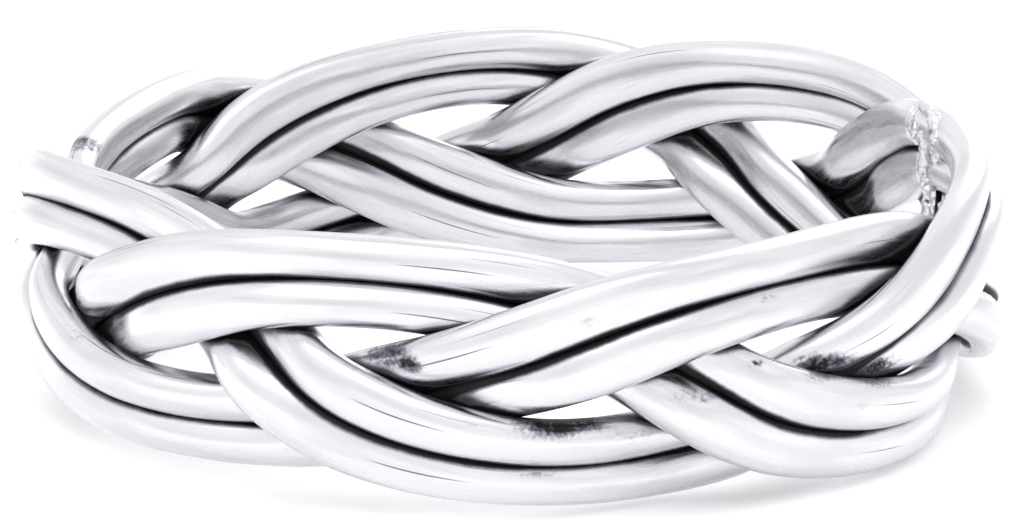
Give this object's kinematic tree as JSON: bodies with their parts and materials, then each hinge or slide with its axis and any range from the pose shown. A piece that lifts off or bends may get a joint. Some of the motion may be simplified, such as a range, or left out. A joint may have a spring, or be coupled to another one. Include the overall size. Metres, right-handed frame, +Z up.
{
  "type": "braided band ring",
  "caption": "Silver finger ring: a flat braid of three strands, each of two round wires, bent into a band and soldered shut.",
  "frame": {"origin": "on the finger's axis, at the floor that the ring lies on", "axes": "+Z up along the finger's axis, +X to the right and -Y towards the viewer as in the picture"},
  "size_m": [0.0216, 0.0216, 0.006],
  "materials": {
    "silver_wire": "polished sterling silver, blackened in the crevices",
    "silver_solder": "silver solder, rough and partly polished"
  },
  "bodies": {
    "root": {"strand_a_upper": "silver_wire", "strand_a_lower": "silver_wire", "strand_b_upper": "silver_wire", "strand_b_lower": "silver_wire", "strand_c_upper": "silver_wire", "strand_c_lower": "silver_wire", "solder_joint": "silver_solder"}
  },
  "joints": []
}
